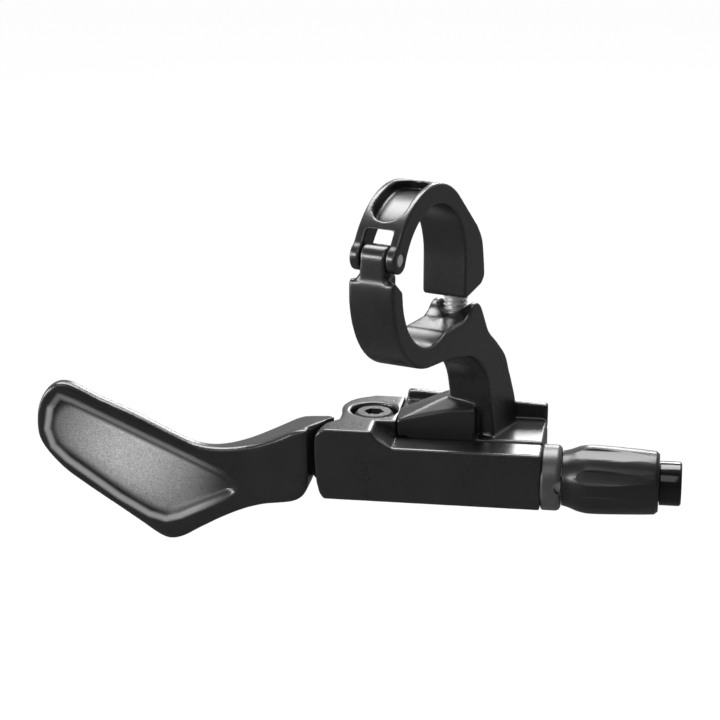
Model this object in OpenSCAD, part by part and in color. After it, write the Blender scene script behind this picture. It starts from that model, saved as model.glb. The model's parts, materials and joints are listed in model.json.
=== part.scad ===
// Dropper post remote lever with a hinged handlebar clamp and a barrel adjuster.
// The origin is the centre of the handlebar, X runs along the bar, Y forward and Z up.

/* [Handlebar clamp] */
// Diameter of the handlebar
bar_d = 22.2; // [21:0.1:24]
// Width of the clamp along the bar
clamp_w = 7.6; // [7.4:0.1:11]
// Thickness of the hinged band over the bar
band_t = 3; // [2.6:0.1:3.6]
// Thickness of the saddle under the bar
saddle_t = 3.5; // [3:0.1:4.2]
// Diameter of the hinge pin
hinge_pin_d = 1.8; // [1.4:0.1:2]
// Radius of the hinge's two ears
ear_r = 2.2; // [2:0.1:2.4]
// Width of the tongue between the ears
tongue_w = 4.2; // [3.6:0.1:4.8]
// Distance from the bar's surface to the clamp bolt's axis
bolt_offset = 4.5; // [4.3:0.1:4.8]
// Diameter of the clamp bolt's thread
clamp_bolt_d = 4; // [3:0.5:4]
// Height of the open gap between the band's end and the saddle's nose
clamp_gap = 2.9; // [2.4:0.1:3.4]

/* [Housing] */
// Angle between the housing and the handlebar, seen from above
body_yaw = 19; // [12:1:26]
// Drop from the bar's centre to the top of the housing
housing_drop = 31.2; // [30:0.1:36]
// Length of the housing to the right of the clamp's foot line
housing_right = 19.7; // [18:0.1:26]
// Depth of the housing from front to rear
housing_depth = 19.5; // [19:0.1:24]
// Height of the housing under the raised left end
housing_h = 12.5; // [12.5:0.1:15]
// Step down from the raised left end to the deck
deck_step = 2.8; // [2:0.1:3.2]
// Thickness of the front wall
front_wall = 1.2; // [1:0.1:1.6]
// Thickness of the plate over the lever's hub
top_plate = 3.6; // [3.4:0.1:3.8]

/* [Lever] */
// Diameter of the lever's hub
hub_d = 11.4; // [11:0.1:11.6]
// Distance from the pivot to the cable anchor
anchor_reach = 7.8; // [7:0.1:7.9]
// Angle by which the paddle leans back towards the hand
paddle_lean = 8; // [0:1:12]
// Thickness of the paddle
paddle_t = 2.8; // [2.4:0.1:3.6]
// Depth of the hollow in the paddle's face
dish_depth = 1.3; // [0.8:0.1:1.6]
// Diameter of the pivot bolt's shoulder
pivot_d = 4.5; // [4:0.1:4.8]

/* [Barrel adjuster] */
// Diameter of the adjuster's thread
stem_d = 6; // [5.4:0.1:6.2]
// Length of the knob
knob_l = 16; // [13:0.5:20]
// Largest diameter of the knob
knob_d = 11.8; // [11.4:0.1:13]
// Number of flutes round the knob
flutes = 8; // [5:1:12]
// Diameter of the cable housing that seats in the end cap
cable_housing_d = 5; // [4:0.1:5]

/* [Fits] */
// Radial clearance of a turning or screwed fit
running_fit = 0.03; // [0.02:0.01:0.05]
// Gap left beside the lever's moving faces
side_gap = 0.25; // [0.2:0.05:0.35]

/* [Hidden] */
$fn = 72;
eps = 0.01;

bar_r = bar_d / 2;
saddle_r = bar_r + saddle_t;
band_r = bar_r + band_t;
band_centre = [-0.6, 0.3];
hinge_angle = 157;
hinge_at = (bar_r + ear_r - 0.1) * [cos(hinge_angle), sin(hinge_angle)];
ear_gap = 0.15;
bolt_y = bar_r + bolt_offset;
band_end_z = -5.4;
nose_z = band_end_z - clamp_gap;
plateau_z = nose_z - 1.9;
bolt_seat_z = 1.4;
bolt_head_d = 5.8;
bolt_head_h = 3;
bolt_end_z = nose_z - 7;
bolt_swing = 0.7;

deck_z = -housing_drop - deck_step;
top_z = -housing_drop;
bottom_z = top_z - housing_h;
pivot_at = [-9.7, 25];
hub_r = hub_d / 2;
front_y = 13.5;
rear_y = front_y + housing_depth;
left_x = -18.3;
foot_y = 19.5;
foot_x = -5.2;
foot_z = deck_z - 1.5;
key_x = pivot_at[0] + hub_r + 0.7;
plate_z = deck_z + 0.3;
seam = 0.1;

boss_at = [-8.6, 26.2];
boss_wall = 1.1;
boss_r = hub_r + boss_wall;
cavity_top = top_z - top_plate;
cavity_h = 6.6;
cavity_bottom = cavity_top - cavity_h;
hub_top = cavity_top - side_gap;
hub_bottom = cavity_bottom + side_gap;
cable_y = 18.6;
cable_z = deck_z - 5.5;
anchor_drop = pivot_at[1] - cable_y;
anchor_angle = -asin(anchor_drop / anchor_reach);
anchor_at = pivot_at + anchor_reach * [cos(anchor_angle), sin(anchor_angle)];
anchor_r = 1.4;
arm_end_r = 2.2;
arm_top = cable_z + 2.2;
push_angle = 35;

bush_r = 3;
bush_flange_r = 3.4;
bush_flange_t = 0.6;
bush_l = 2.8;
spring_wire = 0.8;
spring_r = 4.25;
spring_turns = 3;
spring_pitch = 0.85;
spring_room_in = 3.6;
spring_room_out = 5;
spring_room_h = 3.4;
pivot_head_r = 3.4;
pivot_head_h = 1.7;
pivot_seat_z = top_z - 2;
counterbore_r = 4;
pivot_thread_r = 1.9;

collar_l = 3.3;
collar_r = 5.55;
spigot_r = 3.7;
spigot_l = 2;
knob_x = housing_right + collar_l + 0.15;
knob_end = knob_x + knob_l;
stem_r = stem_d / 2;
stem_start = housing_right - 7.5;
spring_room_x = knob_x + 6.8;
adj_spring_r = stem_r + 0.65;
adj_spring_wire = 0.7;
adj_spring_turns = 6;
cable_hole_r = 1;
cap_l = 3.7;
cap_r = 3.7;
cap_spigot_l = 2.8;
cap_spigot_r = cable_housing_d / 2 + 0.65;
socket_r = cable_housing_d / 2 + 0.05;
socket_floor = 0.8;
ring_wire = 0.5;

screw_at = [[6, 27.5], [15, 27.5]];
screw_r = 1.5;
screw_head_r = 2.7;
screw_head_h = 2.2;
screw_seat_z = bottom_z + 2.6;
screw_end_z = plate_z - 0.7;

// A smooth curve that passes through every point of a list
function curve_point(a, b, c, d, t) =
    0.5 * (2 * b + (c - a) * t + (2 * a - 5 * b + 4 * c - d) * t * t + (3 * b - a - 3 * c + d) * t * t * t);
function curve(p, n = 5) = [
    for (i = [0 : len(p) - 2])
        for (k = [0 : n - 1])
            curve_point(p[max(i - 1, 0)], p[i], p[i + 1], p[min(i + 2, len(p) - 1)], k / n),
    p[len(p) - 1]];
function arc(c, r, a0, a1, n = 12) = [for (i = [0 : n]) c + r * [cos(a0 + (a1 - a0) * i / n),
    sin(a0 + (a1 - a0) * i / n)]];

// Turns a drawing of the clamp's side, with Y to the right and Z up, into a solid along the bar
module along_bar(w) rotate([90, 0, 90]) linear_extrude(w, center = true) children();

// Places things in the housing's own frame, which is turned about the vertical
module in_housing() rotate([0, 0, body_yaw]) children();

// A vertical cylinder between two heights
module post(at, r, z0, z1) translate([at[0], at[1], z0]) cylinder(r = r, h = z1 - z0);

// A flat shape between two heights
module slab(z0, z1) translate([0, 0, z0]) linear_extrude(z1 - z0) children();

// A shape revolved about the cable's line, drawn with X along it and Y outwards
module about_cable() translate([0, cable_y, cable_z]) rotate([0, 90, 0]) rotate_extrude()
    mirror([1, -1]) children();

// A wedge of a disc between two angles
module wedge(at, r, a0, a1) translate(at) polygon(concat([[0, 0]], arc([0, 0], r, a0, a1)));

// A hexagon socket cut from a height downwards
module hex_socket(across, z0, depth) translate([0, 0, z0 - depth])
    cylinder(d = across / cos(30), h = depth + eps, $fn = 6);

// A rod on the hinge's axis
module hinge_rod(d, l) rotate([0, 90, 0]) translate([-hinge_at[1], hinge_at[0]])
    cylinder(d = d, h = l, center = true);

// The band and its hinge ear, in side view
module band_profile() {
    shoulder = [bolt_y + 2, 2.2];
    tip = [bolt_y + 3, band_end_z];
    difference() {
        polygon(concat(
            [[0, 0]],
            arc(hinge_at, ear_r, 338, 118, 20),
            arc(band_centre, band_r, 150, 47, 28),
            curve([shoulder + [-2, 2.5], shoulder + [-0.5, 0.6], shoulder + [0.35, -1.4],
                tip + [0.05, 1.7], tip + [-0.3, 0.6],
                tip + [-1.2, -0.1]], 3),
            [[bar_r + 0.5, band_end_z - 1.2], [bar_r, band_end_z - 0.7], [bar_r, 0]]));
        circle(r = bar_r);
    }
}

// The hinged upper half of the clamp
module clamp_band() color([0.16, 0.16, 0.17]) {
    slot_w = tongue_w + 2 * ear_gap;
    slot_top = hinge_at[1] + 4.1;
    pocket_w = clamp_w - 2.2;
    pocket_half_l = 3.5;
    pocket_angle = 110;
    difference() {
        along_bar(clamp_w) band_profile();
        translate([-slot_w / 2, -band_r * 1.2, hinge_at[1] - 4])
            cube([slot_w, band_r, slot_top - hinge_at[1] + 4]);
        hinge_rod(hinge_pin_d + 0.02, clamp_w * 2);
        intersection() {
            rotate([pocket_angle - 90, 0, 0]) slab(0, band_r * 2) {
                for (end = [-1, 1]) translate([0, end * pocket_half_l]) circle(d = pocket_w);
                square([pocket_w, pocket_half_l * 2], center = true);
            }
            rotate([0, 90, 0]) difference() {
                cylinder(r = band_r * 2, h = clamp_w, center = true);
                cylinder(r = bar_r + band_t * 0.55, h = clamp_w + 1, center = true);
            }
        }
        post([0, bolt_y], clamp_bolt_d / 2 + 0.2, band_end_z - 2, bolt_seat_z + 1);
        post([0, bolt_y - bolt_swing], clamp_bolt_d / 2 + 0.2, band_end_z - 2, bolt_seat_z + 1);
        translate([-clamp_bolt_d / 2 - 0.2, bolt_y - bolt_swing, band_end_z - 2])
            cube([clamp_bolt_d + 0.4, bolt_swing, bolt_seat_z + 3 - band_end_z]);
        post([0, bolt_y], bolt_head_d / 2 + 0.35, bolt_seat_z, band_r);
    }
}

// The pin that the band swings on, pressed into its ears
module hinge_pin() color([0.7, 0.7, 0.72])
    hinge_rod(hinge_pin_d, clamp_w - 0.2);

// The saddle under the bar and the leg that runs down from it, in side view
module saddle_profile() difference() {
    polygon(concat(
        arc([0, 0], saddle_r, 173, 266, 20),
        curve([[5, -15.1], [10, -16], [14.4, -17.1], [17.8, -19.2], [20.2, -22], [21.5, -25.7],
            [22.6, -29.7],
            [23.4, plate_z - 0.5]], 3),
        curve([[33, plate_z - 0.5], [33.2, -31.6], [32.6, -29.2], [31.2, -26.2], [29.7, -23.4],
            [28, -20.3],
            [24.3, -17], [21, -14.4], [19.2, -11.6], [17.6, nose_z - 0.9], [16, nose_z],
                [14.2, nose_z - 0.2],
            [13, nose_z - 1.2], [11.3, plateau_z]], 3),
        [[4, plateau_z], [0, 0], [-bar_r, 0], [-saddle_r + 0.9, 2.1]]));
    circle(r = bar_r);
}

// Saddle, tongue, leg and foot of the clamp, forged in one piece
module clamp_base() color([0.17, 0.17, 0.18]) difference() {
    neck_z = hinge_at[1] - ear_r - 0.3;
    union() {
        along_bar(clamp_w) saddle_profile();
        along_bar(tongue_w + 1) difference() {
            polygon([[-saddle_r + 0.15, 0], [-saddle_r + 0.5, neck_z], [-bar_r, neck_z], [-bar_r, 0]]);
            circle(r = bar_r);
        }
        along_bar(tongue_w) difference() {
            union() {
                translate(hinge_at) circle(r = ear_r - 0.1);
                polygon([[-saddle_r + 0.2, 0], hinge_at + [-ear_r + 0.1, 0],
                    hinge_at + [ear_r - 0.1, 0], [-bar_r, 0]]);
            }
            circle(r = bar_r);
        }
        in_housing() {
            slab(foot_z, plate_z) foot_plan(key_x + seam, housing_right);
            slab(deck_z, top_z) foot_plan(foot_x + seam, 3);
            gusset();
            translate([0, rear_y, 0]) rotate([90, 0, 0]) linear_extrude(1.8)
                polygon(concat([[housing_right, deck_z]],
                curve([[housing_right, top_z + 0.2], [6, top_z + 1.1], [foot_x + 1.6, top_z + 1.7],
                    [foot_x + 0.5, top_z + 1.2]], 4),
                [[foot_x + 0.3, deck_z]]));
        }
    }
    hinge_rod(hinge_pin_d + 2 * running_fit, clamp_w);
    post([0, bolt_y], clamp_bolt_d / 2 + running_fit, bolt_end_z - 0.3, 0);
    post([0, bolt_y], clamp_bolt_d / 2 + 0.6, plateau_z, 0);
    in_housing() for (at = screw_at) post(at, screw_r, foot_z - 1, screw_end_z + 0.2);
}

// A stretch of the foot seen from above
module foot_plan(x0, x1) translate([x0, foot_y + seam]) square([x1 - x0, rear_y - foot_y - seam]);

// The sloping rib that joins the foot's left end to the leg
module gusset() hull() {
    translate([foot_x + seam, 0, 0]) rotate([90, 0, 90]) linear_extrude(eps)
        polygon([[foot_y + seam, deck_z], [foot_y + seam, top_z + 0.1], [23, top_z + 0.8],
            [24.5, top_z + 0.8], [24.5, deck_z]]);
    translate([8.2, 0, 0]) rotate([90, 0, 90]) linear_extrude(eps)
        polygon([[foot_y + seam, deck_z], [foot_y + seam, top_z + 2.4], [21.5, top_z + 4.2],
            [26, top_z + 4.2], [26, deck_z]]);
    translate([3, 0, 0]) rotate([90, 0, 90]) linear_extrude(eps)
        polygon([[foot_y + seam, deck_z], [foot_y + seam, top_z + 2], [22.2, top_z + 4],
            [26, top_z + 4], [26, deck_z]]);
}

// The screw that closes the clamp
module clamp_bolt() color([0.72, 0.72, 0.74]) difference() {
    union() {
        post([0, bolt_y], clamp_bolt_d / 2, bolt_end_z, bolt_seat_z + 1);
        translate([0, bolt_y, bolt_seat_z]) rotate_extrude() polygon([[0, 0], [bolt_head_d / 2, 0],
            [bolt_head_d / 2, bolt_head_h - 0.4], [bolt_head_d / 2 - 0.4, bolt_head_h],
                [0, bolt_head_h]]);
    }
    translate([0, bolt_y, 0]) hex_socket(3, bolt_seat_z + bolt_head_h, 2);
}

// The housing seen from the front
module housing_face() polygon(concat([[left_x + 1.5, bottom_z]],
    curve([[left_x + 0.8, bottom_z + 1.2], [left_x + 0.3, bottom_z + 3.6], [left_x, bottom_z + 8.2],
        [left_x, top_z - 2.4],
        [left_x + 0.4, top_z - 0.9], [left_x + 1.7, top_z]], 3),
    curve([[-8.8, top_z], [-7.7, top_z - 1.4], [foot_x, deck_z]], 3),
    [[housing_right, deck_z], [housing_right, bottom_z]]));

// The housing seen from above
module housing_plan() union() {
    translate(boss_at) circle(r = boss_r);
    polygon([[left_x, front_y], [housing_right, front_y], [housing_right, rear_y], [boss_at[0], rear_y],
        boss_at + boss_r * [cos(200), sin(200)], [-14.9, 19.6], [left_x, 15.3]]);
}

// The space in which the lever's hub and its arm to the cable swing
module lever_room() {
    slab(cavity_bottom, cavity_top) {
        translate(pivot_at) circle(r = hub_r + side_gap);
        intersection() {
            wedge(pivot_at, 16, 152, 262);
            translate([left_x - 4, front_y + front_wall]) square([20, housing_depth]);
        }
    }
    slab(cavity_bottom, arm_top + side_gap) intersection() {
        wedge(pivot_at, anchor_reach + arm_end_r + side_gap, -push_angle - 90, anchor_angle + 36);
        translate([left_x, front_y + front_wall]) square([40, housing_depth]);
    }
}

// The body that carries the pivot, the cable's way in and the clamp's foot
module housing() color([0.15, 0.15, 0.16]) in_housing() difference() {
    union() {
        intersection() {
            slab(bottom_z, top_z) housing_plan();
            translate([0, rear_y, 0]) rotate([90, 0, 0]) linear_extrude(housing_depth) housing_face();
        }
        slab(foot_z - 1, top_z) polygon([[-11, foot_y], [foot_x, foot_y], [foot_x, rear_y],
            [-11, rear_y]]);
    }
    slab(foot_z, 0) translate([key_x, foot_y]) square([housing_right * 2, housing_depth]);
    slab(deck_z, 0) translate([foot_x, foot_y]) square([housing_right * 2, housing_depth]);
    lever_room();
    post(pivot_at, counterbore_r, pivot_seat_z, 0);
    post(pivot_at, pivot_d / 2 + running_fit, cavity_top - 1, 0);
    post(pivot_at, pivot_thread_r, bottom_z - 1, cavity_bottom + 1);
    post(pivot_at + [spring_r, 0], spring_wire / 2 + 0.1, cavity_top - 1, cavity_top + 0.9);
    post(anchor_at, 1.1, bottom_z - 1, cavity_bottom + 1);
    about_cable() {
        translate([foot_x - 1, 0]) square([housing_right, cable_hole_r]);
        translate([stem_start - 0.5, 0]) square([housing_right, stem_r + running_fit]);
        translate([housing_right - spigot_l, 0]) square([spigot_l + 1, spigot_r]);
    }
    for (at = screw_at) {
        post(at, screw_r + 0.1, bottom_z - 1, 0);
        post(at, screw_head_r + 0.15, bottom_z - 1, screw_seat_z);
    }
}

// Two screws that hold the clamp's foot from below
module base_screws() color([0.25, 0.25, 0.27]) in_housing() for (at = screw_at) difference() {
    union() {
        post(at, screw_r, screw_seat_z - 0.5, screw_end_z);
        post(at, screw_head_r, screw_seat_z - screw_head_h, screw_seat_z);
    }
    translate([at[0], at[1], 0]) hex_socket(2.5, screw_seat_z - screw_head_h + 1.2, 1.3);
}

// The lever seen from above: a thin paddle that thickens into the root beside the housing
lean = [cos(paddle_lean), sin(paddle_lean)];
lean_out = [-sin(paddle_lean), cos(paddle_lean)];
paddle_root = [-30, front_y - 0.5];
root_y = paddle_root[1];
module lever_plan() polygon(concat(
    [[left_x - 1, root_y], paddle_root, paddle_root - 36 * lean,
        paddle_root - 36 * lean + paddle_t * lean_out],
    curve([paddle_root - 10 * lean + paddle_t * lean_out,
        paddle_root - 5 * lean + (paddle_t + 0.4) * lean_out,
        [-31, root_y + 5], [-27.4, root_y + 7.4], [-24, root_y + 8.5], [-20.8, root_y + 8.6],
            [-17.7, root_y + 8]], 4),
    [[left_x + 2.6, root_y + 6.8], [left_x - 1, root_y + 2]]));

// The lever seen from the front: paddle to the left, root to the right
module lever_face() polygon(concat(
    curve([[left_x + 4, top_z + 0.2], [-20.8, top_z - 0.3], [-24.2, top_z - 1.7], [-27.5, top_z - 3],
        [-31, top_z - 3.8],
        [-34.4, top_z - 4], [-37.6, top_z - 3.6], [-40.6, top_z - 2.4], [-48.8, top_z + 2.1],
            [-54.2, top_z + 4.7],
        [-58.8, top_z + 7.2], [-61, top_z + 7.5], [-63, top_z + 6], [-64.3, top_z + 3],
            [-64.5, top_z - 1.2],
        [-63.3, top_z - 4.2], [-60.8, top_z - 7.3], [-57.8, top_z - 9.9], [-47.9, top_z - 17.3],
            [-45.2, top_z - 19.4],
        [-43, top_z - 20.5], [-40.7, top_z - 20.1], [-37.8, top_z - 18.5], [-32.8, top_z - 16],
            [-27.6, top_z - 14.2],
        [-24.2, top_z - 13.7], [-22, top_z - 13.3], [-20.5, top_z - 12.5], [-19.6, top_z - 11.2],
            [-19.2, top_z - 9.6],
        [-19, top_z - 8.4]], 4),
    [[left_x + 4, top_z - 8]]));

// The hollow in the paddle, with sloping sides down to a flat floor
module dish() {
    rim = [[-1.4, -11], [-3.6, -8.6], [-16, -2.2], [-28.3, 4.1], [-30.9, 5.2], [-32.5, 3],
        [-33.1, -0.6], [-32.2, -3.6],
        [-29.9, -6], [-21.4, -12.6], [-16.4, -15.8], [-13.6, -16.7], [-11.3, -16.2], [-2.2, -12.2]];
    floor = [[-3, -11.2], [-4.8, -9.9], [-15.9, -4.3], [-26.6, 1.2], [-28.6, 1.6], [-30.6, 0.6],
        [-31.2, -0.9], [-30.4, -2.2],
        [-28, -4], [-20.4, -9.8], [-16.2, -12.9], [-13.6, -14.2], [-11.3, -14.4], [-3.6, -11.9]];
    edge = curve(concat(rim, [rim[0]]), 4);
    bed = curve(concat(floor, [floor[0]]), 4);
    last = len(edge) - 2;
    proud = 0.5;
    slope = 1 + proud / dish_depth;
    translate([paddle_root[0], paddle_root[1], top_z]) rotate([90, 0, paddle_lean]) loft([
        [for (k = [0 : last]) [bed[k][0], bed[k][1], -dish_depth]],
        [for (k = [0 : last]) let (p = bed[k] + slope * (edge[k] - bed[k])) [p[0], p[1], proud]]]);
}

// Paddle, root and hub of the lever, with the short arm that pulls the cable
module lever() color([0.15, 0.15, 0.16]) in_housing() difference() {
    union() {
        intersection() {
            slab(bottom_z - 12, top_z + 12) lever_plan();
            translate([0, rear_y, 0]) rotate([90, 0, 0]) linear_extrude(housing_depth * 2) lever_face();
        }
        slab(hub_bottom, hub_top) {
            translate(pivot_at) circle(r = hub_r);
            polygon([[-18.8, 15.4], [-10.7, 19.7], pivot_at, pivot_at + hub_r * [cos(195), sin(195)],
                [-17.6, 20.6]]);
        }
        slab(hub_bottom, arm_top) {
            translate(anchor_at) circle(r = arm_end_r);
            polygon([pivot_at, pivot_at + 4.8 * [cos(anchor_angle + 50), sin(anchor_angle + 50)],
                anchor_at + arm_end_r * [cos(anchor_angle + 85), sin(anchor_angle + 85)],
                anchor_at + arm_end_r * [cos(anchor_angle - 85), sin(anchor_angle - 85)],
                pivot_at + 4.8 * [cos(anchor_angle - 60), sin(anchor_angle - 60)]]);
        }
    }
    dish();
    post(pivot_at, bush_r, hub_bottom - 1, hub_top + 1);
    post(pivot_at, bush_flange_r, hub_top - bush_flange_t, hub_top + 1);
    post(pivot_at, bush_flange_r, hub_bottom - 1, hub_bottom + bush_flange_t);
    slab(hub_top - spring_room_h, hub_top + 1) translate(pivot_at) difference() {
        circle(r = spring_room_out);
        circle(r = spring_room_in);
    }
    post(pivot_at - [spring_r, 0], spring_wire / 2 + 0.1, hub_top - spring_room_h - 1, hub_top);
    post(anchor_at, anchor_r + running_fit, hub_bottom - 1, arm_top + 1);
    slab(cable_z - 0.9, cable_z + 0.9) wedge(anchor_at, arm_end_r * 2, -10, push_angle + 10);
}

// A flanged bush pressed into the hub, drawn with its flange at height zero
module bushing() rotate_extrude() polygon([[pivot_d / 2 + running_fit, 0], [bush_flange_r, 0],
    [bush_flange_r, -bush_flange_t], [bush_r, -bush_flange_t], [bush_r, -bush_l],
        [pivot_d / 2 + running_fit, -bush_l]]);

module upper_bushing() color([0.72, 0.6, 0.35]) in_housing()
    translate([pivot_at[0], pivot_at[1], cavity_top - 0.05]) bushing();

module lower_bushing() color([0.72, 0.6, 0.35]) in_housing()
    translate([pivot_at[0], pivot_at[1], cavity_bottom + 0.05]) mirror([0, 0, 1]) bushing();

// The shoulder bolt that the lever turns on
module pivot_bolt() color([0.3, 0.3, 0.32]) in_housing() translate([pivot_at[0], pivot_at[1], 0])
    difference() {
    union() {
        translate([0, 0, pivot_seat_z]) rotate_extrude() polygon([[0, 0], [pivot_head_r, 0],
            [pivot_head_r, pivot_head_h - 0.5], [pivot_head_r - 0.5, pivot_head_h], [0, pivot_head_h]]);
        post([0, 0], pivot_d / 2, cavity_bottom, pivot_seat_z + eps);
        post([0, 0], pivot_thread_r, bottom_z + 0.3, cavity_bottom + eps);
    }
    hex_socket(3, pivot_seat_z + pivot_head_h, 1.2);
}

// A solid skinned over rings that all have as many points
module loft(rings) {
    n = len(rings[0]);
    points = [for (ring = rings) each ring];
    last = (len(rings) - 1) * n;
    polyhedron(points, concat(
        [[for (k = [0 : n - 1]) k]],
        [for (i = [0 : len(rings) - 2]) for (k = [0 : n - 1]) [i * n + k, (i + 1) * n + k,
            (i + 1) * n + (k + 1) % n]],
        [for (i = [0 : len(rings) - 2]) for (k = [0 : n - 1]) [i * n + k, (i + 1) * n + (k + 1) % n,
            i * n + (k + 1) % n]],
        [[for (k = [n - 1 : -1 : 0]) last + k]]));
}

// A round wire swept along a list of points
module wire(points, d, sides = 8) loft([for (i = [0 : len(points) - 1])
    let (
        ahead = points[min(i + 1, len(points) - 1)] - points[max(i - 1, 0)],
        t = ahead / norm(ahead),
        side = cross(t, abs(t[2]) > 0.9 ? [1, 0, 0] : [0, 0, 1]),
        u = side / norm(side),
        v = cross(t, u)
    )
    [for (k = [0 : sides - 1]) points[i] + d / 2 * (u * cos(k * 360 / sides) + v * sin(k * 360 / sides))]]);

// The torsion spring round the hub, with one end in the hub and one in the housing
module return_spring() color([0.6, 0.6, 0.62]) in_housing() {
    steps = 20;
    turns = spring_turns - 0.5;
    low = hub_top - spring_room_h + spring_wire / 2 + 0.1;
    coil = [for (i = [0 : steps * turns]) [
        pivot_at[0] + spring_r * cos(180 + 360 * i / steps),
        pivot_at[1] + spring_r * sin(180 + 360 * i / steps),
        low + spring_pitch * i / steps]];
    wire(concat([coil[0] + [0, 0, -0.9]], coil, [coil[len(coil) - 1] + [0, 0, 0.9]]), spring_wire);
}

// The swivelling barrel that grips the cable's end
module cable_anchor() color([0.66, 0.66, 0.68]) in_housing() difference() {
    post(anchor_at, anchor_r, hub_bottom + 0.05, arm_top + 0.1);
    translate([anchor_at[0], anchor_at[1], cable_z]) rotate([0, 90, 0])
        cylinder(r = 0.65, h = 4, center = true);
    post(anchor_at, 0.8, hub_bottom - 1, cable_z);
}

// The grub screw that pinches the cable in its barrel
module anchor_screw() color([0.3, 0.3, 0.32]) in_housing() difference() {
    post(anchor_at, 0.8, hub_bottom + 0.15, cable_z - 0.65);
    translate([anchor_at[0], anchor_at[1], 0]) hex_socket(0.9, hub_bottom + 0.65, 0.6);
}

// The fixed collar that the knob seats against
module adjuster_collar() color([0.35, 0.35, 0.36]) in_housing() difference() {
    about_cable() polygon(concat(
        [[housing_right - spigot_l, stem_r + 0.2], [housing_right - spigot_l, spigot_r],
            [housing_right, spigot_r],
            [housing_right, collar_r - 0.3], [housing_right + 0.3, collar_r]],
        arc([housing_right + collar_l - 0.9, collar_r - 0.9], 0.9, 90, 0, 6),
        [[housing_right + collar_l, adj_spring_r + 0.6],
            [housing_right + collar_l - 1, adj_spring_r + 0.6],
            [housing_right + collar_l - 1, stem_r + 0.2]]));
    translate([housing_right + collar_l, cable_y - collar_r, cable_z]) rotate([90, 0, 0])
        cylinder(r = 1.1, h = 2.6, center = true);
}

// The threaded tube that the knob is pressed onto
module adjuster_stem() color([0.3, 0.3, 0.32]) in_housing() about_cable() difference() {
    polygon([[stem_start, 0], [stem_start, stem_r - 0.5], [stem_start + 0.5, stem_r],
        [knob_end - cap_spigot_l - 0.2, stem_r],
        [knob_end - cap_spigot_l - 0.2, 0]]);
    square([knob_end * 2, cable_hole_r]);
}

// The knob's outline over the cable's line
function knob_outline() = curve([[knob_x, knob_d / 2 - 1.3], [knob_x + 1.2, knob_d / 2 - 1],
    [knob_x + 3.4, knob_d / 2 - 0.2], [knob_x + 5.5, knob_d / 2],
        [knob_x + 0.65 * knob_l, knob_d / 2 - 0.25],
    [knob_end - 0.6, knob_d / 2 - 0.6]], 4);

// The knob turned by hand to take up the cable's slack
module adjuster_knob() color([0.2, 0.2, 0.21]) in_housing() difference() {
    about_cable() difference() {
        polygon(concat([[knob_x, 0]], knob_outline(), [[knob_end, knob_d / 2 - 1.1], [knob_end, 0]]));
        square([knob_end * 2, stem_r]);
        square([spring_room_x, adj_spring_r + 0.6]);
        translate([knob_end - cap_spigot_l - 0.1, 0]) square([cap_spigot_l + 1,
            cap_spigot_r + running_fit]);
    }
    for (i = [0 : flutes - 1]) translate([knob_x + 1.8, cable_y, cable_z])
        rotate([(i + 0.5) * 360 / flutes, 0, 0])
        translate([0, knob_d / 2 + 2.4, 0]) rotate([0, 90, 0]) cylinder(r = 2.9, h = knob_l);
}

// The spring that steadies the knob against the collar
module adjuster_spring() color([0.6, 0.6, 0.62]) in_housing() {
    steps = 14;
    x0 = housing_right + collar_l - 1 + adj_spring_wire / 2 + 0.05;
    x1 = spring_room_x - adj_spring_wire / 2 - 0.05;
    count = steps * adj_spring_turns;
    wire([for (i = [0 : count]) [x0 + (x1 - x0) * i / count,
        cable_y + adj_spring_r * cos(360 * i / steps),
        cable_z + adj_spring_r * sin(360 * i / steps)]], adj_spring_wire, 6);
}

// The cap that the cable's outer housing seats in, which the knob turns round
module cable_end_cap() color([0.08, 0.08, 0.08]) in_housing() about_cable() difference() {
    polygon([[knob_end - cap_spigot_l, 0], [knob_end - cap_spigot_l, cap_spigot_r],
        [knob_end + 0.1, cap_spigot_r],
        [knob_end + 0.1, cap_r], [knob_end + cap_l - 0.3, cap_r], [knob_end + cap_l, cap_r - 0.3],
            [knob_end + cap_l, 0]]);
    square([knob_end * 2, cable_hole_r]);
    translate([knob_end - cap_spigot_l + socket_floor, 0]) square([cap_l + cap_spigot_l, socket_r]);
    translate([knob_end - cap_spigot_l / 2, cap_spigot_r]) circle(r = ring_wire / 2 + 0.02);
}

// The rubber ring that keeps the cap in the knob
module end_cap_ring() color([0.1, 0.1, 0.1]) in_housing() about_cable() intersection() {
    translate([knob_end - cap_spigot_l / 2, cap_spigot_r]) circle(r = ring_wire / 2);
    square([knob_end * 2, cap_spigot_r + 0.01]);
}

clamp_base();
clamp_band();
hinge_pin();
clamp_bolt();
housing();
base_screws();
lever();
upper_bushing();
lower_bushing();
pivot_bolt();
return_spring();
cable_anchor();
anchor_screw();
adjuster_collar();
adjuster_stem();
adjuster_knob();
adjuster_spring();
cable_end_cap();
end_cap_ring();
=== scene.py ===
import json
import math

import bmesh
import bpy
from mathutils import Matrix, Vector

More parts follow.
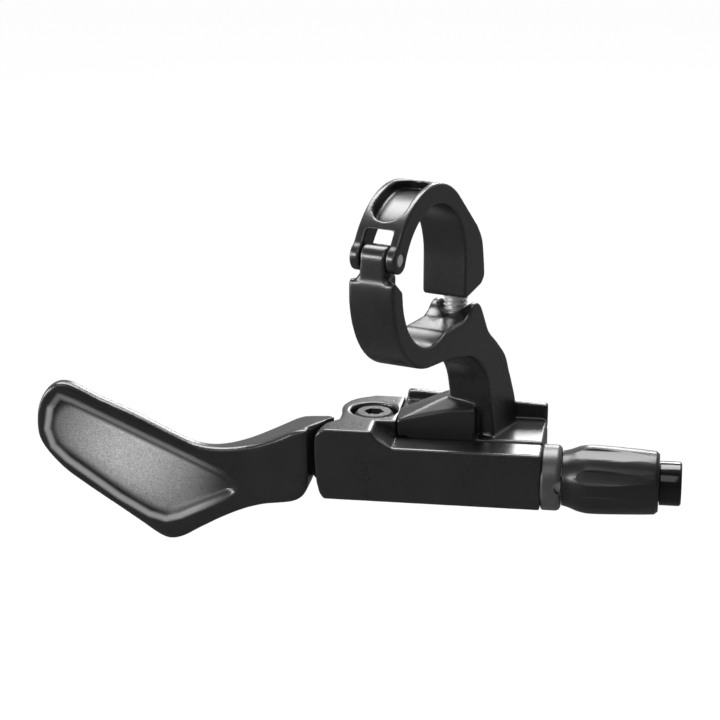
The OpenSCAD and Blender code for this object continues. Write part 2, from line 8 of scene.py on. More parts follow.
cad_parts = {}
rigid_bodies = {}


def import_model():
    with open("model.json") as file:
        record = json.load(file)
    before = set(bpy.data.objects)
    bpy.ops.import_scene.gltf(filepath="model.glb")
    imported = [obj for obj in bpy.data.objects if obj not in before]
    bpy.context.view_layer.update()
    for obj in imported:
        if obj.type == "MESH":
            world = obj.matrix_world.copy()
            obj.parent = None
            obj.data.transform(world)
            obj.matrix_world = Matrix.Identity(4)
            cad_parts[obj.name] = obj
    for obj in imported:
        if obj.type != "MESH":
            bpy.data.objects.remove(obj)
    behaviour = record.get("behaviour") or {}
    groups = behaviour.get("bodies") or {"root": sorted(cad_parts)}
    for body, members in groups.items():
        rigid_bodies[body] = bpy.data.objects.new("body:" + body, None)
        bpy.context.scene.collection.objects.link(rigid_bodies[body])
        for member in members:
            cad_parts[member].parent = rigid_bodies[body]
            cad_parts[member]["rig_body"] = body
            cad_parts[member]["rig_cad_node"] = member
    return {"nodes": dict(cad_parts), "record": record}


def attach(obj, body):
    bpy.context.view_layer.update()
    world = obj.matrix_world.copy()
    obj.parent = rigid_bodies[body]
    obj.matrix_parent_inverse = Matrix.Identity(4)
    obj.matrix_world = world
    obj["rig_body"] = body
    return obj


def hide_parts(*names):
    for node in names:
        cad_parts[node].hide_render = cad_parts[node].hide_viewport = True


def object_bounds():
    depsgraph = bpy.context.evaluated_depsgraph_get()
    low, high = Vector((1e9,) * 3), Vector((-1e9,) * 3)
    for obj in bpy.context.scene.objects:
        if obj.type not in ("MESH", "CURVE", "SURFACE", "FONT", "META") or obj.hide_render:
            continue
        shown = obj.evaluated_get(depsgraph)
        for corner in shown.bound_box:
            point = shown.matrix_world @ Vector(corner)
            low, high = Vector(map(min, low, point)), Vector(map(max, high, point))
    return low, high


# A dropper post remote lever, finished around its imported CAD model
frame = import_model()
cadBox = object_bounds()
nodes = frame["nodes"]
slotOf = {part["node"]: part["material_slot"] for part in frame["record"]["subparts"]}
mm = 0.001
housingYaw = math.radians(19)                    # the housing is turned this much from the bar
print("stage: frame loaded,", len(nodes), "nodes")

# how the copies of CAD meshes are worked on, in mm and degrees
mesh = {
    "weld": 0.002,                               # corners nearer than this are one corner
    "smoothing": 0.5, "blend": 2,                # the softer part fades in over this length
    "bevelSegments": 3, "bevelOver": 35, "smoothUnder": 32, "threadSmoothUnder": 40,
}


def pickOnly(piece):
    bpy.ops.object.select_all(action="DESELECT")
    piece.select_set(True)
    bpy.context.view_layer.objects.active = piece


def applyAll(piece):
    pickOnly(piece)
    for modifier in list(piece.modifiers):
        bpy.ops.object.modifier_apply(modifier=modifier.name)


def finishPiece(piece, nodeName, material):
    piece.data.materials.clear()
    piece.data.materials.append(material)
    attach(piece, nodes[nodeName]["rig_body"])
    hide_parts(nodeName)


def mergedCopy(nodeName, pieceName):
    piece = nodes[nodeName].copy()
    piece.data = piece.data.copy()
    piece.name = pieceName
    piece.parent = None
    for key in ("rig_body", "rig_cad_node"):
        del piece[key]
    bpy.context.scene.collection.objects.link(piece)
    piece.data.transform(Matrix.Scale(1 / mm, 4))            # worked on in millimetres
    pickOnly(piece)
    bpy.ops.object.mode_set(mode="EDIT")
    bpy.ops.mesh.select_all(action="SELECT")
    bpy.ops.mesh.remove_doubles(threshold=mesh["weld"])
    bpy.ops.mesh.customdata_custom_splitnormals_clear()
    bpy.ops.object.mode_set(mode="OBJECT")
    return piece


def markLeftOf(piece, limit):
    # a vertex group that fades in to the left of a plane across the housing's length
    group = piece.vertex_groups.new(name="outside")
    turn = Matrix.Rotation(-housingYaw, 4, "Z")
    for vertex in piece.data.vertices:
        share = min(max((limit - (turn @ vertex.co).x) / mesh["blend"], 0.0), 1.0)
        if share > 0:
            group.add([vertex.index], share, "REPLACE")
    return group


def addSmooth(piece, passes):
    smooth = piece.modifiers.new("smooth", "SMOOTH")
    smooth.factor = mesh["smoothing"]
    smooth.iterations = passes
    return smooth


def roundedCopy(nodeName, shape):
    # a forged or blasted part: its edges are melted a little by a fine remesh and a smooth
    piece = mergedCopy(nodeName, shape["piece"])
    remesh = piece.modifiers.new("remesh", "REMESH")
    remesh.mode = "VOXEL"
    remesh.voxel_size = shape["voxel"]
    remesh.use_smooth_shade = True
    applyAll(piece)
    addSmooth(piece, shape["passes"])
    if "leftOf" in shape:
        softer = addSmooth(piece, shape["outerPasses"])
        softer.vertex_group = markLeftOf(piece, shape["leftOf"]).name
    fewer = piece.modifiers.new("fewer", "DECIMATE")
    fewer.ratio = shape["keep"]
    applyAll(piece)
    piece.data.transform(Matrix.Scale(mm, 4))
    bpy.ops.object.shade_smooth()
    print("piece:", piece.name, len(piece.data.polygons), "faces")
    return piece


def bevelledCopy(nodeName, shape):
    # a turned part: flat faces are joined up, and its sharp edges broken by a bevel
    piece = mergedCopy(nodeName, shape["piece"])
    bpy.ops.object.mode_set(mode="EDIT")
    bpy.ops.mesh.select_all(action="SELECT")
    bpy.ops.mesh.dissolve_limited(angle_limit=math.radians(shape["flat"]))
    bpy.ops.object.mode_set(mode="OBJECT")
    bevel = piece.modifiers.new("bevel", "BEVEL")
    bevel.width = shape["width"]
    bevel.segments = mesh["bevelSegments"]
    bevel.limit_method = "ANGLE"
    bevel.angle_limit = math.radians(mesh["bevelOver"])
    applyAll(piece)
    piece.data.transform(Matrix.Scale(mm, 4))
    bpy.ops.object.shade_smooth_by_angle(angle=math.radians(mesh["smoothUnder"]))
    print("piece:", piece.name, len(piece.data.polygons), "faces")
    return piece


def newGroup(name, inputs, outputs):
    group = bpy.data.node_groups.new(name, "ShaderNodeTree")
    for label, kind, value in inputs:
        socket = group.interface.new_socket(name=label, in_out="INPUT", socket_type=kind)
        if value is not None:
            socket.default_value = value
    for label in outputs:
        group.interface.new_socket(name=label, in_out="OUTPUT", socket_type="NodeSocketFloat")
    enter = group.nodes.new("NodeGroupInput")
    leave = group.nodes.new("NodeGroupOutput")
    return group, enter, leave


def mathNode(tree, operation, first, second):
    node = tree.nodes.new("ShaderNodeMath")
    node.operation = operation
    for place, value in enumerate((first, second)):
        if isinstance(value, (int, float)):
            node.inputs[place].default_value = value
        else:
            tree.links.new(value, node.inputs[place])
    return node.outputs[0]


# shared by the shader groups: noise detail, how the edge wear and painted edge highlight are broken
# up, and the depth of bumps in metres
shading = {
    "fineDetail": 2, "slowDetail": 3, "ringDetail": 2, "edgeSamples": 4, "leastWearAndHighlight": 0.5,
    "blastedDepth": 0.00004, "turnedDepth": 0.00003,
}


def makeGrainGroup():
    # blasted grain: a fine noise for the height and a slow one for patches of sheen
    group, enter, leave = newGroup("blastedGrain",
        [("Vector", "NodeSocketVector", None), ("Grain Scale", "NodeSocketFloat", 6000.0),
         ("Patch Scale", "NodeSocketFloat", 120.0)], ["Height", "Patches"])
    kinds = (("Height", "Grain Scale", "fineDetail"), ("Patches", "Patch Scale", "slowDetail"))
    for output, scale, detail in kinds:
        noise = group.nodes.new("ShaderNodeTexNoise")
        noise.inputs["Detail"].default_value = shading[detail]
        group.links.new(enter.outputs["Vector"], noise.inputs["Vector"])
        group.links.new(enter.outputs[scale], noise.inputs["Scale"])
        group.links.new(noise.outputs["Fac"], leave.inputs[output])
    return group


def makeEdgeGroup():
    # how near a point is to a sharp edge, broken up so that it looks handled: edges are painted
    # lighter, partly as wear and partly as a painted highlight
    group, enter, leave = newGroup("edgeWearAndHighlight",
        [("Vector", "NodeSocketVector", None), ("Reach", "NodeSocketFloat", 0.0004),
         ("Gain", "NodeSocketFloat", 4.0), ("Break Scale", "NodeSocketFloat", 900.0)], ["Mask"])
    softened = group.nodes.new("ShaderNodeBevel")
    softened.samples = shading["edgeSamples"]
    plain = group.nodes.new("ShaderNodeNewGeometry")
    dot = group.nodes.new("ShaderNodeVectorMath")
    dot.operation = "DOT_PRODUCT"
    noise = group.nodes.new("ShaderNodeTexNoise")
    group.links.new(enter.outputs["Reach"], softened.inputs["Radius"])
    group.links.new(softened.outputs["Normal"], dot.inputs[0])
    group.links.new(plain.outputs["Normal"], dot.inputs[1])
    group.links.new(enter.outputs["Vector"], noise.inputs["Vector"])
    group.links.new(enter.outputs["Break Scale"], noise.inputs["Scale"])
    bend = mathNode(group, "SUBTRACT", 1.0, dot.outputs["Value"])
    strong = mathNode(group, "MULTIPLY", bend, enter.outputs["Gain"])
    broken = mathNode(group, "MULTIPLY", strong,
        mathNode(group, "ADD", noise.outputs["Fac"], shading["leastWearAndHighlight"]))
    group.links.new(mathNode(group, "MINIMUM", broken, 1.0), leave.inputs["Mask"])
    return group


def makeTurnedGroup():
    # fine rings left by a lathe, round the X of the vector it is given
    group, enter, leave = newGroup("turnedRings",
        [("Vector", "NodeSocketVector", None), ("Ring Scale", "NodeSocketFloat", 900.0),
         ("Wander", "NodeSocketFloat", 1.5)], ["Height"])
    wave = group.nodes.new("ShaderNodeTexWave")
    wave.wave_type = "BANDS"
    wave.bands_direction = "X"
    wave.inputs["Detail"].default_value = shading["ringDetail"]
    group.links.new(enter.outputs["Vector"], wave.inputs["Vector"])
    group.links.new(enter.outputs["Ring Scale"], wave.inputs["Scale"])
    group.links.new(enter.outputs["Wander"], wave.inputs["Distortion"])
    group.links.new(wave.outputs["Fac"], leave.inputs["Height"])
    return group


grainGroup = makeGrainGroup()
edgeGroup = makeEdgeGroup()
turnedGroup = makeTurnedGroup()


def startMaterial(name, shell, turn):
    # a Principled shader with its constant sockets, and object coordinates turned to the part
    material = bpy.data.materials.new(name)
    material.use_nodes = True
    tree = material.node_tree
    shader = tree.nodes["Principled BSDF"]
    for socket, value in shell.items():
        shader.inputs[socket].default_value = value
    where = tree.nodes.new("ShaderNodeTexCoord")
    turned = tree.nodes.new("ShaderNodeMapping")
    turned.inputs["Rotation"].default_value = (0, 0, -turn)
    tree.links.new(where.outputs["Object"], turned.inputs["Vector"])
    return material, tree, shader, turned.outputs["Vector"]


def placeGroup(tree, group, vector, **values):
    node = tree.nodes.new("ShaderNodeGroup")
    node.node_tree = group
    tree.links.new(vector, node.inputs["Vector"])
    for label, value in values.items():
        node.inputs[label.replace("_", " ")].default_value = value
    return node


def mixColour(tree, mask, first, second):
    node = tree.nodes.new("ShaderNodeMix")
    node.data_type = "RGBA"
    tree.links.new(mask, node.inputs["Factor"])
    for place, value in (("A", first), ("B", second)):
        socket = [s for s in node.inputs if s.name == place and s.type == "RGBA"][0]
        if isinstance(value, tuple):
            socket.default_value = (*value, 1.0)
        else:
            tree.links.new(value, socket)
    return [s for s in node.outputs if s.type == "RGBA"][0]


def mixValue(tree, mask, low, high):
    node = tree.nodes.new("ShaderNodeMapRange")
    tree.links.new(mask, node.inputs["Value"])
    node.inputs["To Min"].default_value = low
    node.inputs["To Max"].default_value = high
    return node.outputs["Result"]


def mixFloat(tree, mask, first, second):
    node = tree.nodes.new("ShaderNodeMix")
    tree.links.new(mask, node.inputs["Factor"])
    tree.links.new(first, node.inputs["A"])
    node.inputs["B"].default_value = second
    return node.outputs["Result"]


def bumpFrom(tree, shader, height, strength, distance):
    bump = tree.nodes.new("ShaderNodeBump")
    bump.inputs["Strength"].default_value = strength
    bump.inputs["Distance"].default_value = distance
    tree.links.new(height, bump.inputs["Height"])
    tree.links.new(bump.outputs["Normal"], shader.inputs["Normal"])


def anodised(name, look):
    # blasted and anodised aluminium, lighter and smoother where its edges are handled, the lighter
    # edges partly a painted highlight
    material, tree, shader, vector = startMaterial(name, look["shell"], housingYaw)
    grain = placeGroup(tree, grainGroup, vector,
        Grain_Scale=look["grain"], Patch_Scale=look["patch"])
    edges = placeGroup(tree, edgeGroup, vector, Reach=look["reach"], Gain=look["gain"])
    body = mixColour(tree, grain.outputs["Patches"], look["dark"], look["light"])
    wornAndHighlit = mixColour(tree, edges.outputs["Mask"], body, look["edge"])
    tree.links.new(wornAndHighlit, shader.inputs["Base Color"])
    satin = mixValue(tree, grain.outputs["Patches"], *look["rough"])
    tree.links.new(satin, shader.inputs["Roughness"])
    bumpFrom(tree, shader, grain.outputs["Height"], look["bump"], shading["blastedDepth"])
    return material, tree, shader, vector, grain, wornAndHighlit


def turnedMetal(name, look):
    # a lathe-turned part whose rings run round the line that its own look gives
    material, tree, shader, vector = startMaterial(name, look["shell"], look["turn"])
    rings = placeGroup(tree, turnedGroup, vector, Ring_Scale=look["rings"])
    edges = placeGroup(tree, edgeGroup, vector, Reach=look["reach"], Gain=look["gain"])
    body = mixColour(tree, rings.outputs["Height"], look["dark"], look["light"])
    wornAndHighlit = mixColour(tree, edges.outputs["Mask"], body, look["edge"])
    tree.links.new(wornAndHighlit, shader.inputs["Base Color"])
    satin = mixValue(tree, rings.outputs["Height"], *look["rough"])
    tree.links.new(satin, shader.inputs["Roughness"])
    bumpFrom(tree, shader, rings.outputs["Height"], look["bump"], shading["turnedDepth"])
    return material


blackLook = {
    "shell": {"IOR": 1.5, "Specular IOR Level": 0.85},
    # edge: worn metal on the edges, and also a painted highlight along them
    "dark": (0.006, 0.006, 0.0062), "light": (0.012, 0.012, 0.0123), "edge": (0.09, 0.09, 0.092),
    "grain": 5000.0, "patch": 160.0, "bump": 0.3,
    "reach": 0.0004, "gain": 1.2, "rough": (0.25, 0.31),
}
greyLook = dict(blackLook, dark=(0.024, 0.024, 0.0245), light=(0.045, 0.045, 0.046),
    edge=(0.2, 0.2, 0.2), rough=(0.3, 0.4))
knobLook = {
    "shell": {"IOR": 1.5, "Specular IOR Level": 0.5}, "turn": housingYaw, "rings": 2500.0,
    "dark": (0.009, 0.009, 0.0093), "light": (0.011, 0.011, 0.0113), "edge": (0.12, 0.12, 0.122),
    "reach": 0.0003, "gain": 1.0, "rough": (0.27, 0.29), "bump": 0.001,
}
capLook = dict(knobLook, dark=(0.003, 0.003, 0.003), light=(0.005, 0.005, 0.005),
    edge=(0.02, 0.02, 0.02), rough=(0.11, 0.13), bump=0.001)
steelLook = {
    "shell": {"Metallic": 0.75, "IOR": 2.5}, "turn": 0.0, "rings": 1500.0,
    "dark": (0.66, 0.66, 0.665), "light": (0.8, 0.8, 0.805), "edge": (0.9, 0.9, 0.9),
    "reach": 0.0002, "gain": 1.5, "rough": (0.22, 0.34), "bump": 0.06,
}
oxideLook = dict(steelLook, dark=(0.04, 0.04, 0.041), light=(0.08, 0.08, 0.081),
    edge=(0.3, 0.3, 0.3), rough=(0.26, 0.36))
springLook = dict(steelLook, dark=(0.3, 0.3, 0.305), light=(0.42, 0.42, 0.425), rough=(0.25, 0.38))
bushingLook = dict(blackLook, dark=(0.36, 0.28, 0.15), light=(0.44, 0.35, 0.2),
    edge=(0.5, 0.42, 0.28), rough=(0.45, 0.55))
rubberLook = dict(blackLook, dark=(0.01, 0.01, 0.01), light=(0.02, 0.02, 0.02),
    edge=(0.03, 0.03, 0.03), rough=(0.6, 0.75))
finishes = {
    "black_anodised": anodised("blackAnodised", blackLook)[0],
    "grey_anodised": anodised("greyAnodised", greyLook)[0],
    "knob_anodised": turnedMetal("knobAnodised", knobLook),
    "cap_plastic": turnedMetal("capPlastic", capLook),
    "bright_steel": turnedMetal("brightSteel", steelLook),
    "dark_steel": turnedMetal("blackOxide", oxideLook),
    "spring_steel": turnedMetal("springWire", springLook),
    "bushing_plastic": anodised("bushingPlastic", bushingLook)[0],
    "seal_rubber": anodised("sealRubber", rubberLook)[0],
}

paddleFloorLook = {
    # the floor's light grey shows mostly inside the painted sheen round sheenSpot
    "dark": (0.04, 0.04, 0.041), "light": (0.66, 0.66, 0.664),
    "grain": 4200.0, "patch": 90.0, "rough": 0.42, "bump": 0.8,
    "sheenSpot": (-0.0512, -0.0056, -0.0368),        # a painted sheen makes the floor bright round this point
    "sheenReach": 0.0175, "sheenEdge": 0.16,
    # the rim's colour is a painted highlight along the hollow's edge
    "rim": (0.3, 0.3, 0.302), "rimRough": 0.2,
}


def paintedSheenSpot(tree, look):
    # a painted sheen: full round its centre, and fading away from it
    where = tree.nodes.new("ShaderNodeTexCoord")
    away = tree.nodes.new("ShaderNodeVectorMath")
    away.operation = "DISTANCE"
    tree.links.new(where.outputs["Object"], away.inputs[0])
    away.inputs[1].default_value = look["sheenSpot"]
    sheenSpot = tree.nodes.new("ShaderNodeMapRange")
    sheenSpot.interpolation_type = "SMOOTHSTEP"
    tree.links.new(away.outputs["Value"], sheenSpot.inputs["Value"])
    sheenSpot.inputs["From Max"].default_value = look["sheenReach"]
    sheenSpot.inputs["To Min"].default_value = 1.0
    sheenSpot.inputs["To Max"].default_value = look["sheenEdge"]
    return sheenSpot.outputs["Result"]


def paddleMaterial():
    # the lever's black finish, with the hollow's blasted grey floor under a painted sheen and a
    # painted highlight along its rim laid over it
    look = paddleFloorLook
    material, tree, shader, vector, grain, wornAndHighlit = anodised("leverAnodised", blackLook)
    floor, rim = tree.nodes.new("ShaderNodeAttribute"), tree.nodes.new("ShaderNodeAttribute")
    floor.attribute_name, rim.attribute_name = "blastedFloor", "paintedRimHighlight"
    coarse = placeGroup(tree, grainGroup, vector,
        Grain_Scale=look["grain"], Patch_Scale=look["patch"])
    # the floor's tone is the grain times the painted sheen
    tone = mathNode(tree, "MULTIPLY", coarse.outputs["Height"], paintedSheenSpot(tree, look))
    speckle = mixColour(tree, tone, look["dark"], look["light"])
    floored = mixColour(tree, floor.outputs["Fac"], wornAndHighlit, speckle)
    rimmed = mixColour(tree, rim.outputs["Fac"], floored, look["rim"])
    tree.links.new(rimmed, shader.inputs["Base Color"])
    satin = mixValue(tree, grain.outputs["Patches"], *blackLook["rough"])
    blasted = mixFloat(tree, floor.outputs["Fac"], satin, look["rough"])
    rubbed = mixFloat(tree, rim.outputs["Fac"], blasted, look["rimRough"])
    tree.links.new(rubbed, shader.inputs["Roughness"])
    fine = mathNode(tree, "MULTIPLY", grain.outputs["Height"], blackLook["bump"])
    strong = mathNode(tree, "MULTIPLY", coarse.outputs["Height"],
        mathNode(tree, "MULTIPLY", floor.outputs["Fac"], look["bump"]))
    bumpFrom(tree, shader, mathNode(tree, "ADD", fine, strong), 1.0, shading["blastedDepth"])
    return material


leverFinish = paddleMaterial()
for nodeName, node in nodes.items():
    node.data.materials.clear()
    node.data.materials.append(finishes[slotOf[nodeName]])
print("stage: materials made")


def fadeIn(value, low, high):
    share = min(max((value - low) / (high - low), 0.0), 1.0)
    return share * share * (3 - 2 * share)


def depthInside(point, outline):
    # how far a point lies inside an outline, less than zero outside it
    nearest, crossings = math.inf, 0
    for start, end in zip(outline, outline[1:] + outline[:1]):
        first, edge = Vector(start), Vector(end) - Vector(start)
        share = min(max((point - first).dot(edge) / edge.length_squared, 0.0), 1.0)
        nearest = min(nearest, (point - first - share * edge).length)
        if (start[1] > point.y) != (end[1] > point.y):
            crossings += point.x < first.x + edge.x * (point.y - first.y) / edge.y
    return nearest if crossings % 2 else -nearest


# the paddle's hollow as the CAD source has it, in mm and degrees, and where each mask fades
paddle = {
    "root": (-30.0, 13.0), "top": -31.2, "lean": 8.0,
    "outline": (
        (-1.4, -11.0), (-3.6, -8.6), (-16.0, -2.2), (-28.3, 4.1), (-30.9, 5.2),
        (-32.5, 3.0), (-33.1, -0.6), (-32.2, -3.6), (-29.9, -6.0), (-21.4, -12.6),
        (-16.4, -15.8), (-13.6, -16.7), (-11.3, -16.2), (-2.2, -12.2)),
    "within": (-0.1, 0.9), "floor": (0.35, 1.0), "facing": (0.7, 0.92), "facingFrom": 0.2,
    # the painted rim highlight is brighter along the lower rim than along the upper one
    "rim": (0.15, 0.75), "rimFront": (0.35, 0.75), "rimLow": 0.85, "rimHigh": 0.32,
    "ending": (2.0, 10.0),                       # both masks fade out at the hollow's right tip
    "slant": (-0.5, -13.5), "slantFade": 1.5,    # between the lower rim and the upper one
}


def markPaddleFloor(piece):
    # the floor lies inside the hollow's outline, behind the face, and the painted rim highlight
    # follows the outline
    turn = Matrix.Rotation(-housingYaw, 4, "Z")
    lean = math.radians(paddle["lean"])
    along = Vector((math.cos(lean), math.sin(lean)))
    inward = Vector((-math.sin(lean), math.cos(lean)))
    floor = piece.data.attributes.new("blastedFloor", "FLOAT", "POINT")
    rim = piece.data.attributes.new("paintedRimHighlight", "FLOAT", "POINT")
    slope, shift = paddle["slant"]
    for vertex in piece.data.vertices:
        place = turn @ (vertex.co / mm)
        flat = Vector((place.x - paddle["root"][0], place.y - paddle["root"][1]))
        depth, reach, height = flat.dot(inward), flat.dot(along), place.z - paddle["top"]
        facing = (turn.to_3x3() @ vertex.normal).xy.dot(-inward)
        if reach > 0 or facing < paddle["facingFrom"]:
            continue
        within = depthInside(Vector((reach, height)), paddle["outline"])
        ending = fadeIn(-reach, *paddle["ending"])
        floor.data[vertex.index].value = (ending * fadeIn(within, *paddle["within"])
            * fadeIn(depth, *paddle["floor"]) * fadeIn(facing, *paddle["facing"]))
        upper = fadeIn(height - slope * reach, shift, shift + paddle["slantFade"])
        near = 1 - fadeIn(abs(within), *paddle["rim"])
        bell = ending * near * fadeIn(facing, *paddle["rimFront"])
        strength = paddle["rimLow"] + (paddle["rimHigh"] - paddle["rimLow"]) * upper
        rim.data[vertex.index].value = bell * strength


# forged and machined parts, in mm
roundedParts = {
    "clamp_base": {"piece": "clampBase", "voxel": 0.17, "passes": 34, "keep": 1.0},
    "clamp_band": {"piece": "clampBand", "voxel": 0.15, "passes": 26, "keep": 0.5},
    "housing": {"piece": "housingShell", "voxel": 0.17, "passes": 28, "keep": 1.0},
    "lever": {"piece": "thumbLever", "voxel": 0.18, "passes": 6, "keep": 0.5,
        "leftOf": -17.0, "outerPasses": 120},                # the paddle and its arm are softer
}
for nodeName, shape in roundedParts.items():
    piece = roundedCopy(nodeName, shape)
    if nodeName == "lever":
        markPaddleFloor(piece)
    finishPiece(piece, nodeName, leverFinish if nodeName == "lever" else finishes[slotOf[nodeName]])

# turned parts, with the angle under which faces are joined and the width of the bevel in mm
turnedParts = {
    "adjuster_knob": {"piece": "adjusterKnob", "flat": 2, "width": 0.18},
    "adjuster_collar": {"piece": "adjusterCollar", "flat": 2, "width": 0.15},
    "cable_end_cap": {"piece": "cableEndCap", "flat": 2, "width": 0.12},
}
for nodeName, shape in turnedParts.items():
    finishPiece(bevelledCopy(nodeName, shape), nodeName, finishes[slotOf[nodeName]])

# threaded parts, in mm, each thread standing on the Z of its own place
cableLine = (Matrix.Rotation(housingYaw, 4, "Z") @ Matrix.Translation((0, 18.6, -39.5))
    @ Matrix.Rotation(math.pi / 2, 4, "Y"))
threadForm = {
    "perTurn": 8, "steepness": 1.3, "rootFlat": 0.15,        # flanks between a flat root and crest
    "endMargin": 0.3, "overCrest": 0.05, "coreGap": 0.1,     # what is drawn in, and how far
}
threadedParts = {
    "clamp_bolt": {"piece": "clampBolt", "flat": 2, "width": 0.12, "thread": {
        "place": Matrix.Translation((0, 15.6, -15.2)),
        "length": 16.2, "pitch": 0.7, "round": 48, "minor": 1.62, "major": 1.99}},
    "adjuster_stem": {"piece": "adjusterStem", "flat": 2, "width": 0.1, "thread": {
        "place": cableLine @ Matrix.Translation((0, 0, 12.8)),
        "length": 23.0, "pitch": 1.0, "round": 56, "minor": 2.5, "major": 2.99}},
}


def threadRadius(thread, along, share):
    # the radius at a length and a share of a turn, dying out over a pitch at both ends
    fade = min(1.0, along / thread["pitch"], (thread["length"] - along) / thread["pitch"])
    phase = (along / thread["pitch"] - share) % 1.0
    rise = (1 - abs(2 * phase - 1)) * threadForm["steepness"] - threadForm["rootFlat"]
    return thread["minor"] + (thread["major"] - thread["minor"]) * (min(max(rise, 0.0), 1.0) * fade)


def addThread(bm, thread):
    # a closed cylinder whose rings rise and fall along a helix
    steps, rings = thread["round"], int(thread["length"] / thread["pitch"] * threadForm["perTurn"])
    rows = []
    for ring in range(rings + 1):
        along = thread["length"] * ring / rings
        row = []
        for step in range(steps):
            radius = threadRadius(thread, along, step / steps)
            angle = 2 * math.pi * step / steps
            point = Vector((radius * math.cos(angle), radius * math.sin(angle), along))
            row.append(bm.verts.new(thread["place"] @ point))
        rows.append(row)
    for low, high in zip(rows, rows[1:]):
        for step in range(steps):
            after = (step + 1) % steps
            bm.faces.new((low[step], low[after], high[after], high[step]))
    bm.faces.new(list(reversed(rows[0])))
    bm.faces.new(rows[-1])


def threadedCopy(nodeName, shape):
    # the CAD part with its plain shank drawn in to a core, and a real thread round it
    thread = shape["thread"]
    piece = bevelledCopy(nodeName, shape)
    back = thread["place"].inverted()
    bm = bmesh.new()
    bm.from_mesh(piece.data)
    bm.transform(Matrix.Scale(1 / mm, 4))
    for vertex in bm.verts:
        local = back @ vertex.co
        if -threadForm["endMargin"] < local.z < thread["length"] + threadForm["endMargin"]:
            radius = math.hypot(local.x, local.y)
            if thread["minor"] < radius < thread["major"] + threadForm["overCrest"]:
                local.xy = local.xy * (thread["minor"] - threadForm["coreGap"]) / radius
                vertex.co = thread["place"] @ local
    addThread(bm, thread)
    bmesh.ops.recalc_face_normals(bm, faces=bm.faces[:])
    bm.transform(Matrix.Scale(mm, 4))
    bm.to_mesh(piece.data)
    bm.free()
    bpy.ops.object.shade_smooth_by_angle(angle=math.radians(mesh["threadSmoothUnder"]))
    print("piece:", piece.name, len(piece.data.polygons), "faces")
    return piece


for nodeName, shape in threadedParts.items():
    finishPiece(threadedCopy(nodeName, shape), nodeName, finishes[slotOf[nodeName]])
print("stage: parts made")

# the white sweep stands behind and over the object, and the room before it is dim
sweep = {
    "behind": (-0.42, 0.80, 0.42),
    "world": (0.0, 0.8, 0.07, 0.5),                          # where it fades, and from what to what
    "floor": (-0.25, 0.25, 0.08, 0.12),
}


def sweepShade(tree, direction, path, span):
    # full white to the camera, and for mirrored light a fade from the dim room to the sweep
    towards = tree.nodes.new("ShaderNodeVectorMath")
    towards.operation = "DOT_PRODUCT"
    tree.links.new(direction, towards.inputs[0])
    towards.inputs[1].default_value = sweep["behind"]
    fade = tree.nodes.new("ShaderNodeMapRange")
    fade.interpolation_type = "SMOOTHSTEP"
    tree.links.new(towards.outputs["Value"], fade.inputs["Value"])
    for label, value in zip(("From Min", "From Max", "To Min", "To Max"), span):
        fade.inputs[label].default_value = value
    return mathNode(tree, "MAXIMUM", fade.outputs["Result"], path.outputs["Is Camera Ray"])


def seenRay(tree, path):
    # one for what is seen, mirrored or seen through, and nought for the light that falls on things
    glossy, through = path.outputs["Is Glossy Ray"], path.outputs["Is Transmission Ray"]
    return mathNode(tree, "MAXIMUM", path.outputs["Is Camera Ray"],
        mathNode(tree, "MAXIMUM", glossy, through))


floorLook = {
    "below": 0.03, "size": 8,
    "colour": (0.9, 0.9, 0.9, 1), "rough": 0.9, "glowShare": 0.97,
}


def makeFloor():
    bpy.ops.mesh.primitive_plane_add(size=floorLook["size"],
        location=(0, 0, cadBox[0].z - floorLook["below"]))
    floor = bpy.context.active_object
    floor.name = "floor"
    material = bpy.data.materials.new("paleFloor")
    material.use_nodes = True
    tree = material.node_tree
    shader = tree.nodes["Principled BSDF"]
    shader.inputs["Base Color"].default_value = floorLook["colour"]
    shader.inputs["Roughness"].default_value = floorLook["rough"]
    glow = tree.nodes.new("ShaderNodeEmission")
    path = tree.nodes.new("ShaderNodeLightPath")
    place = tree.nodes.new("ShaderNodeTexCoord")
    shade = sweepShade(tree, place.outputs["Object"], path, sweep["floor"])
    tree.links.new(shade, glow.inputs["Strength"])
    mix = tree.nodes.new("ShaderNodeMixShader")
    share = mathNode(tree, "MULTIPLY", seenRay(tree, path), floorLook["glowShare"])
    tree.links.new(share, mix.inputs["Fac"])
    tree.links.new(shader.outputs["BSDF"], mix.inputs[1])
    tree.links.new(glow.outputs["Emission"], mix.inputs[2])
    tree.links.new(mix.outputs["Shader"], tree.nodes["Material Output"].inputs["Surface"])
    floor.data.materials.append(material)


roomLook = {"colour": (1, 1, 1, 1), "litStrength": 0.35}


def makeWorld():
    world = bpy.data.worlds.new("paleStudio")
    world.use_nodes = True
    tree = world.node_tree
    ground = tree.nodes["Background"]
    path = tree.nodes.new("ShaderNodeLightPath")
    ground.inputs["Color"].default_value = roomLook["colour"]
    where = tree.nodes.new("ShaderNodeTexCoord")
    shade = sweepShade(tree, where.outputs["Generated"], path, sweep["world"])
    strength = tree.nodes.new("ShaderNodeMapRange")
    tree.links.new(seenRay(tree, path), strength.inputs["Value"])
    strength.inputs["To Min"].default_value = roomLook["litStrength"]
    tree.links.new(shade, strength.inputs["To Max"])
    tree.links.new(strength.outputs["Result"], ground.inputs["Strength"])
    bpy.context.scene.world = world


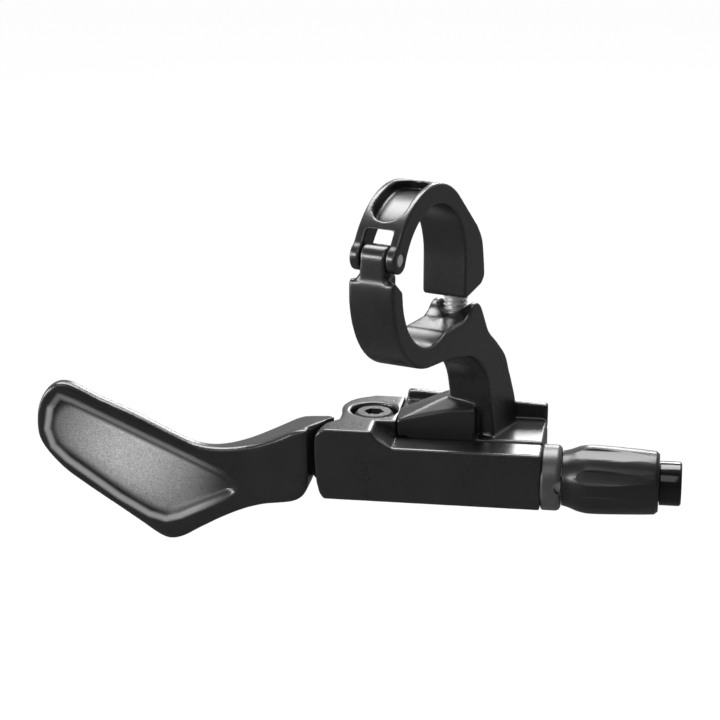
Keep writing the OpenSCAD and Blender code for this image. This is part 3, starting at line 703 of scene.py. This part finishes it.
lampAim = (0, 0, -0.02)
lampTable = {
    "topBack": {"at": (-0.14, 0.24, 0.52), "size": (0.55, 0.36), "watts": 6.0},
    "backRight": {"at": (-0.19, 0.65, 0.21), "size": (0.2, 0.16), "watts": 1.1},
    "leftSide": {"at": (-0.6, -0.42, 0.12), "size": (0.2, 0.4), "watts": 3.2},
    "frontLeft": {"at": (-0.3, -0.58, 0.16), "size": (0.2, 0.12), "watts": 1.5},
    "frontFill": {"at": (0.1, -0.6, 0.6), "size": (0.5, 0.5), "watts": 1.2},
}


def makeLamps():
    for name, lamp in lampTable.items():
        light = bpy.data.lights.new(name, "AREA")
        light.shape = "RECTANGLE"
        light.size, light.size_y = lamp["size"]
        light.energy = lamp["watts"]
        holder = bpy.data.objects.new(name, light)
        holder.location = lamp["at"]
        towards = Vector(lampAim) - Vector(lamp["at"])
        holder.rotation_euler = towards.to_track_quat("-Z", "Y").to_euler()
        holder.visible_camera = False
        bpy.context.scene.collection.objects.link(holder)


view = {
    "azimuth": 27.6, "elevation": 17.3, "distance": 0.315,       # as the photograph was taken
    "aside": -0.0084, "asideTurn": 18.8, "height": -0.01455,     # what it looks at
    "lens": 100, "sensor": 36, "clipStart": 0.01,
}


def makeCamera():
    azimuth, elevation = math.radians(view["azimuth"]), math.radians(view["elevation"])
    aside = math.radians(view["asideTurn"])
    back = Vector((math.sin(azimuth) * math.cos(elevation),
        -math.cos(azimuth) * math.cos(elevation), math.sin(elevation)))
    target = Vector((view["aside"] * math.cos(aside), view["aside"] * math.sin(aside),
        view["height"]))
    data = bpy.data.cameras.new("photoCamera")
    data.lens = view["lens"]
    data.sensor_width = view["sensor"]
    data.clip_start = view["clipStart"]
    camera = bpy.data.objects.new("photoCamera", data)
    camera.location = target + back * view["distance"]
    camera.rotation_euler = (-back).to_track_quat("-Z", "Y").to_euler()
    bpy.context.scene.collection.objects.link(camera)
    bpy.context.scene.camera = camera


makeFloor()
makeWorld()
makeLamps()
makeCamera()
bpy.context.scene.view_settings.view_transform = "Standard"
print("stage: studio made")
